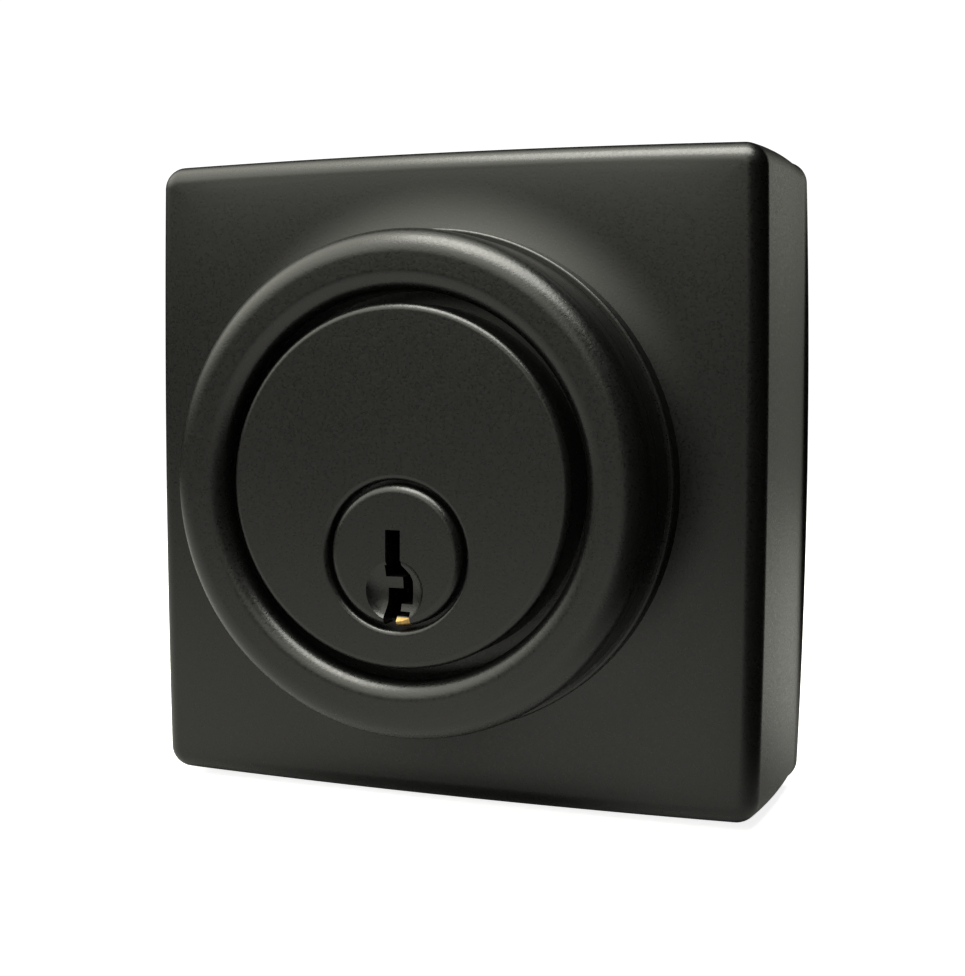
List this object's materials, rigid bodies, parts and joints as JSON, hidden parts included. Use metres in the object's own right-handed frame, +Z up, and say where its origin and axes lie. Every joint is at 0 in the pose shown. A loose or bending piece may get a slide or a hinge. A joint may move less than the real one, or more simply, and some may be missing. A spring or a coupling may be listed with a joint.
{
  "type": "deadbolt door lock",
  "caption": "Outside half of a deadbolt: square satin-black rosette, raised round collar with a turning guard ring, keyed pin cylinder and a flat tail blade.",
  "frame": {"origin": "centre of the rosette's back, on the door's outer face", "axes": "+Z up, -Y out of the door towards a person outside, +X to that person's right"},
  "size_m": [0.0676, 0.0905, 0.0676],
  "materials": {
    "rosette_black": "satin black paint on cast zinc",
    "collar_black": "satin black paint on turned steel",
    "ring_black": "satin black paint on turned steel",
    "cylinder_black": "satin black paint on cast zinc",
    "plug_brass": "machined brass, its front face painted satin black",
    "brass": "machined",
    "pin_steel": "ground",
    "spring_steel": "drawn wire",
    "hardened_steel": "hardened, dark",
    "zinc_steel": "zinc plated",
    "screw_steel": "zinc plated"
  },
  "bodies": {
    "lock_case": {"rosette": "rosette_black", "guard_collar": "collar_black", "ring_retainer": "spring_steel", "cylinder_body": "cylinder_black", "spring_cover": "brass", "drill_guard_pins": "hardened_steel", "backing_plate": "zinc_steel", "mounting_posts": "zinc_steel", "body_screws": "screw_steel", "plate_screws": "screw_steel"},
    "plug_core": {"plug": "plug_brass", "plug_cap": "brass"},
    "tail": {"tail_blade": "zinc_steel"},
    "guard_ring": {"guard_ring": "ring_black"},
    "key_pin_1": {"key_pin_1": "brass"},
    "driver_pin_1": {"driver_pin_1": "pin_steel", "pin_spring_1": "spring_steel"},
    "key_pin_2": {"key_pin_2": "brass"},
    "driver_pin_2": {"driver_pin_2": "pin_steel", "pin_spring_2": "spring_steel"},
    "key_pin_3": {"key_pin_3": "brass"},
    "driver_pin_3": {"driver_pin_3": "pin_steel", "pin_spring_3": "spring_steel"},
    "key_pin_4": {"key_pin_4": "brass"},
    "driver_pin_4": {"driver_pin_4": "pin_steel", "pin_spring_4": "spring_steel"},
    "key_pin_5": {"key_pin_5": "brass"},
    "driver_pin_5": {"driver_pin_5": "pin_steel", "pin_spring_5": "spring_steel"}
  },
  "joints": [
    {"name": "plug_turn", "type": "hinge", "parent": "lock_case", "child": "plug_core", "pos_m": [0, -0.02, -0.0066], "axis": [0, -1, 0], "range_deg": [-90, 90]},
    {"name": "tail_turn", "type": "hinge", "parent": "plug_core", "child": "tail", "pos_m": [0, 0, -0.0066], "axis": [0, -1, 0], "range_deg": [0, 90]},
    {"name": "guard_ring_spin", "type": "hinge", "parent": "lock_case", "child": "guard_ring", "pos_m": [0, -0.03, 0], "axis": [0, -1, 0], "continuous": true},
    {"name": "key_pin_1_drop", "type": "slide", "parent": "plug_core", "child": "key_pin_1", "axis": [0, 0, 1], "range_m": [-0.0027, 0]},
    {"name": "key_pin_2_drop", "type": "slide", "parent": "plug_core", "child": "key_pin_2", "axis": [0, 0, 1], "range_m": [-0.0015, 0]},
    {"name": "key_pin_3_drop", "type": "slide", "parent": "plug_core", "child": "key_pin_3", "axis": [0, 0, 1], "range_m": [-0.0023, 0]},
    {"name": "key_pin_4_drop", "type": "slide", "parent": "plug_core", "child": "key_pin_4", "axis": [0, 0, 1], "range_m": [-0.0011, 0]},
    {"name": "key_pin_5_drop", "type": "slide", "parent": "plug_core", "child": "key_pin_5", "axis": [0, 0, 1], "range_m": [-0.0019, 0]},
    {"name": "driver_pin_1_lift", "type": "slide", "parent": "lock_case", "child": "driver_pin_1", "axis": [0, 0, 1], "range_m": [0, 0.002], "stiffness_N_per_m": 300, "springref_m": -0.003, "deforming": ["pin_spring_1"]},
    {"name": "driver_pin_2_lift", "type": "slide", "parent": "lock_case", "child": "driver_pin_2", "axis": [0, 0, 1], "range_m": [0, 0.002], "stiffness_N_per_m": 300, "springref_m": -0.003, "deforming": ["pin_spring_2"]},
    {"name": "driver_pin_3_lift", "type": "slide", "parent": "lock_case", "child": "driver_pin_3", "axis": [0, 0, 1], "range_m": [0, 0.002], "stiffness_N_per_m": 300, "springref_m": -0.003, "deforming": ["pin_spring_3"]},
    {"name": "driver_pin_4_lift", "type": "slide", "parent": "lock_case", "child": "driver_pin_4", "axis": [0, 0, 1], "range_m": [0, 0.002], "stiffness_N_per_m": 300, "springref_m": -0.003, "deforming": ["pin_spring_4"]},
    {"name": "driver_pin_5_lift", "type": "slide", "parent": "lock_case", "child": "driver_pin_5", "axis": [0, 0, 1], "range_m": [0, 0.002], "stiffness_N_per_m": 300, "springref_m": -0.003, "deforming": ["pin_spring_5"]}
  ]
}
